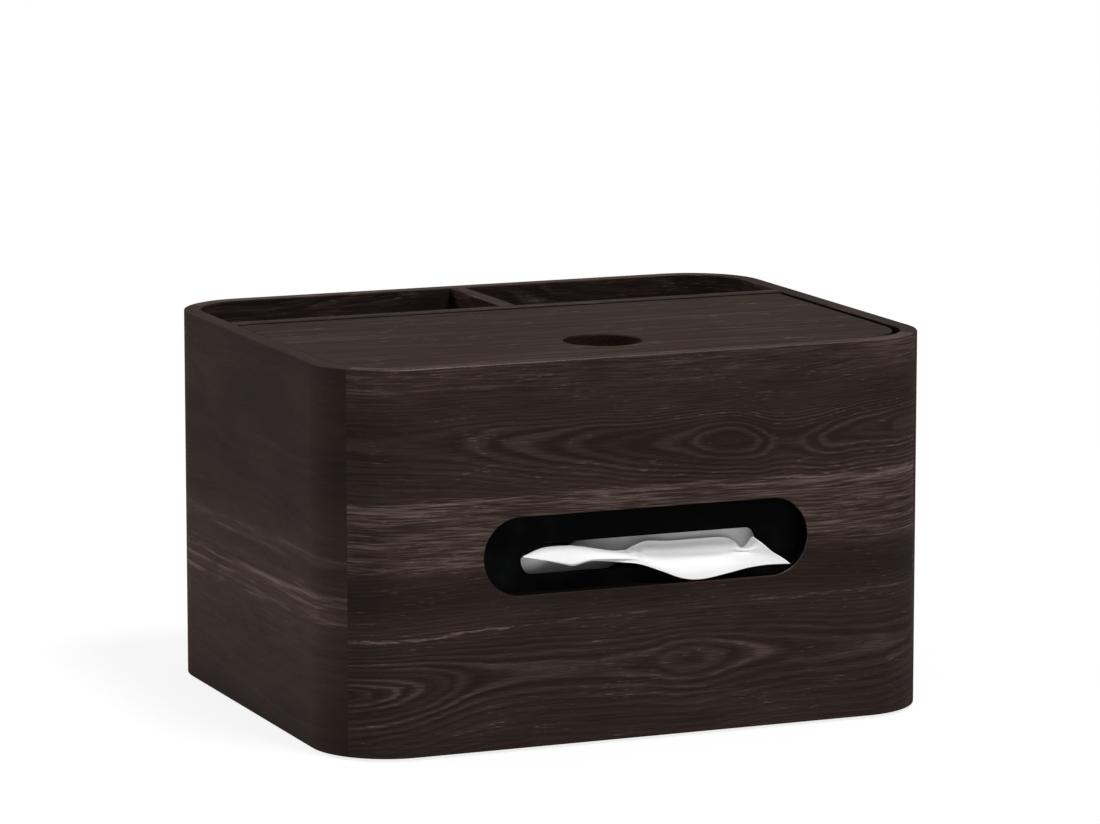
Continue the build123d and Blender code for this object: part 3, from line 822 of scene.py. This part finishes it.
CREASE = [(-43.7, -84.8, 65.2), (-36.6, -85.7, 64.9), (-27.8, -85.8, 64.4), (-19.2, -85.4, 64.2),
          (-9.6, -84.9, 62.9), (-2.6, -83.4, 61.9), (5.1, -82.1, 60.7), (12.4, -82.0, 60.1),
          (21.6, -82.1, 59.8), (29.8, -82.6, 59.7), (34.3, -83.4, 60.6), (38.6, -86.3, 61.2),
          (44.8, -87.5, 62.0)]
LIP = [(-43.8, -85.0, 65.2), (-36.7, -86.3, 63.9), (-27.4, -86.9, 62.3), (-18.8, -86.6, 62.9),
       (-9.4, -85.7, 62.2), (-2.0, -84.6, 61.4), (5.8, -84.4, 59.8), (13, -84.6, 59.0),
       (22, -84.8, 58.8), (29.8, -85.1, 58.8), (35.2, -85.8, 60.2), (39.8, -86.8, 60.4),
       (46.8, -87.7, 60.4)]
FACE = [(-43.85, -85.2, 65.2), (-36.75, -86.1, 63.9), (-27.2, -86.6, 61.9), (-18.6, -86.0, 62.5),
        (-9.0, -85.3, 61.5), (-1.6, -85.0, 60.6), (6.2, -86.2, 58.2), (13, -87.0, 56.6),
        (21.6, -87.2, 56.2), (29.6, -87.3, 57.0), (36.0, -87.5, 58.0), (42.0, -87.7, 58.4),
        (50, -88.0, 58.4)]
FREE_EDGE = [(-43.9, -85.3, 65.2), (-36.8, -85.9, 63.8), (-27.0, -86.3, 61.6), (-18.4, -85.6, 62.1),
             (-8.6, -85.5, 60.8), (-1.2, -85.4, 59.5), (6.4, -86.8, 56.7), (12.6, -88.0, 54.3),
             (20.5, -88.3, 53.4), (29.5, -88.3, 54.7), (37, -88.3, 56.0), (44, -88.4, 56.5),
             (52.8, -88.4, 56.2)]


def pulled_sheet():
    """The sheet as rows from its hidden end to its free edge, each a cubic through thirteen
    points, and the rows joined by cubics the other way. Where the width is gathered, folds
    run out of the slot: a wave across the sheet whose height grows with the gathering."""
    rows = [(0, level_row(86, -74.5, 83)), (12, level_row(88, -68, 92)), (25, level_row(91, -56.5, 98)),
            (36, level_row(93.5, -46, 98.5)), (43, level_row(94.6, -41.0, 94.5)),
            (49, level_row(94.6, -40.3, 89)), (104, level_row(94.6, -40.3, 33.0)),
            (107, level_row(94.6, -40.95, 31.2)), (110, level_row(94.6, -41.6, 33.0)),
            (120, level_row(93, -42.6, 42, 0.5)), (132, level_row(88, -48, 49, 1.5)),
            (145, level_row(76, -59, 52, 3)), (159, INNER_TURN), (169, CURTAIN), (173, THROAT),
            (177, NECK), (180, CREST), (182.5, BACK), (185.5, BELLY), (189, CREASE), (192, LIP),
            (196, FACE), (200, FREE_EDGE)]
    s = np.linspace(0, 1, 161)
    stretches = np.linspace(0, 140, 40), np.linspace(140, 170, 25)[1:], np.linspace(170, 200, 76)[1:]
    t = np.concatenate(stretches)
    net = np.stack([through(ACROSS, row, s) for _, row in rows])
    points = through([at for at, _ in rows], net, t)
    s, t = s[None], t[:, None]

    gathered = np.exp(-((t - 150) / 11.0) ** 2)
    folds = np.sin(2 * np.pi * 8.5 * s + 1.3 * np.sin(5 * s)) + 0.5 * np.sin(2 * np.pi * 15 * s + 0.7)
    points[..., 2] += 1.1 * gathered * folds
    points[..., 1] += 0.5 * gathered * np.roll(folds, 5)
    neck_pinch = np.exp(-((s - 0.44) / 0.045) ** 2) * np.exp(-((t - 184) / 5.0) ** 2)
    creases = np.sin(88 * s + 0.35 * t) + 0.6 * np.sin(141 * s - 0.5 * t)
    points[..., 2] += 0.4 * neck_pinch * creases
    points[..., 1] += 0.4 * neck_pinch * np.roll(creases, 3, axis=1)
    corner = np.exp(-np.abs(s - 0.165) / 0.03) * np.clip((t - 186) / 14, 0, 1)
    points[..., 2] -= 0.5 * corner
    flop = np.clip(1 - t / 45, 0, 1)
    points[..., 2] += flop * (2.4 * np.sin(5.1 * s + 0.6) + 1.1 * np.sin(13 * s + 3 * flop))
    points[..., 1] += flop * (1.8 * np.sin(7.3 * s + 2.0) + 0.6 * np.sin(31 * s - 2 * flop))
    free = np.clip((t - 176) / 10, 0, 1) ** 2
    points[..., 1] += 0.12 * free * np.sin(21 * s + 0.25 * t)

    n = np.arange(points.shape[0] * points.shape[1]).reshape(points.shape[:2])
    quads = np.stack([n[:-1, :-1], n[:-1, 1:], n[1:, 1:], n[1:, :-1]], -1).reshape(-1, 4)
    flat = np.stack(np.broadcast_arrays(TISSUE_WIDTH * s, t), -1)
    return points.reshape(-1, 3), quads, flat.reshape(-1, 2)


tissue = mesh_piece("pulled_sheet", *pulled_sheet(), [paper])
ply = tissue.modifiers.new("ply", "SOLIDIFY")
ply.thickness = TISSUE_THICK
ply.offset = 0.0
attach(tissue, "box")
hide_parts("pulled_tissue")


# ---------------------------------------------------------------- studio
# A white sheet under and behind the box, a soft box overhead and one behind on the left,
# and the camera at the photograph's place.

FLOOR_SEEN = (0.95, 0.95, 0.95, 1)
FLOOR_MATT = (0.5, 0.5, 0.5, 1)
FLOOR_HALF = 9.0                    # m
SHADOW_ENDS = (0.2, 0.9)            # m from the middle, where the floor goes over to plain white
GLOW, GLOW_MORE = 0.84, 0.16        # share of the floor that glows, and what it gains out there
WHITE = (1, 1, 1, 1)
AMBIENT = 0.28
MIDDLE = (0, 0, 0.06)               # m, what the lamps look at
CAMERA_PLACE = (-0.71425, -1.71145, 0.4052)     # m
CAMERA_DOWN, CAMERA_TURN = 9.4019, -22.6976     # degrees
LENS = 176.61                       # mm, over a sensor 36 mm wide


def seen_rays(tree):
    """1 for the rays that see the studio itself: from the camera, in gloss and through glass."""
    rays = readings(put(tree, "LightPath").outputs)
    seen = calc("MAXIMUM", rays["Is Camera Ray"], rays["Is Glossy Ray"])
    return calc("MAXIMUM", seen, rays["Is Transmission Ray"])


def white_floor():
    """A matt floor that the camera sees near white, with the object's shadow kept. It throws
    less light up at the object than it shows."""
    material = bpy.data.materials.new("studio_floor")
    material.use_nodes = True
    tree = material.node_tree
    tree.nodes.remove(tree.nodes["Principled BSDF"])
    seen = seen_rays(tree)
    where = parts_of(readings(put(tree, "TexCoord").outputs)["Object"])
    far = ease(length_of(where[0], where[1]), *SHADOW_ENDS)
    matt = put(tree, "BsdfDiffuse", Color=mix(seen, FLOOR_MATT, FLOOR_SEEN, colours=True))
    glow = put(tree, "Emission", Color=WHITE, Strength=1.0)
    both = put(tree, "MixShader", Fac=seen * (far * GLOW_MORE + GLOW))
    give(both.inputs[1], Reading(matt.outputs[0]))
    give(both.inputs[2], Reading(glow.outputs[0]))
    fill(tree.nodes["Material Output"], Surface=Reading(both.outputs[0]))
    return material


def soft_box(name, place, size, power):
    """A square area lamp that looks at the middle of the object."""
    lamp = bpy.data.lights.new(name, "AREA")
    lamp.shape, lamp.size, lamp.energy = "SQUARE", size, power
    box = bpy.data.objects.new(name, lamp)
    bpy.context.collection.objects.link(box)
    box.location = place
    box.rotation_euler = (Vector(MIDDLE) - Vector(place)).to_track_quat("-Z", "Y").to_euler()


floor_mesh = bpy.data.meshes.new("studio_floor")
floor_corners = [(x * FLOOR_HALF, y * FLOOR_HALF, 0) for x, y in ((-1, -1), (1, -1), (1, 1), (-1, 1))]
floor_mesh.from_pydata(floor_corners, [], [(0, 1, 2, 3)])
floor_mesh.materials.append(white_floor())
floor = bpy.data.objects.new("studio_floor", floor_mesh)
bpy.context.collection.objects.link(floor)

world = bpy.data.worlds.new("studio")
bpy.context.scene.world = world
world.use_nodes = True
fill(world.node_tree.nodes["Background"], Color=WHITE,
     Strength=seen_rays(world.node_tree) * (1.0 - AMBIENT) + AMBIENT)

soft_box("key", (0.4, -0.85, 2.1), 0.7, 47)
soft_box("rear_left", (-1.5, 1.3, 0.95), 0.9, 30)

camera = bpy.data.objects.new("camera", bpy.data.cameras.new("camera"))
bpy.context.collection.objects.link(camera)
camera.data.sensor_fit = "HORIZONTAL"
camera.data.sensor_width = 36.0
camera.data.lens = LENS
camera.data.clip_end = 50.0
camera.location = CAMERA_PLACE
camera.rotation_euler = Euler(np.radians((90 - CAMERA_DOWN, 0, CAMERA_TURN)).tolist())
bpy.context.scene.camera = camera
bpy.context.scene.view_settings.view_transform = "Standard"
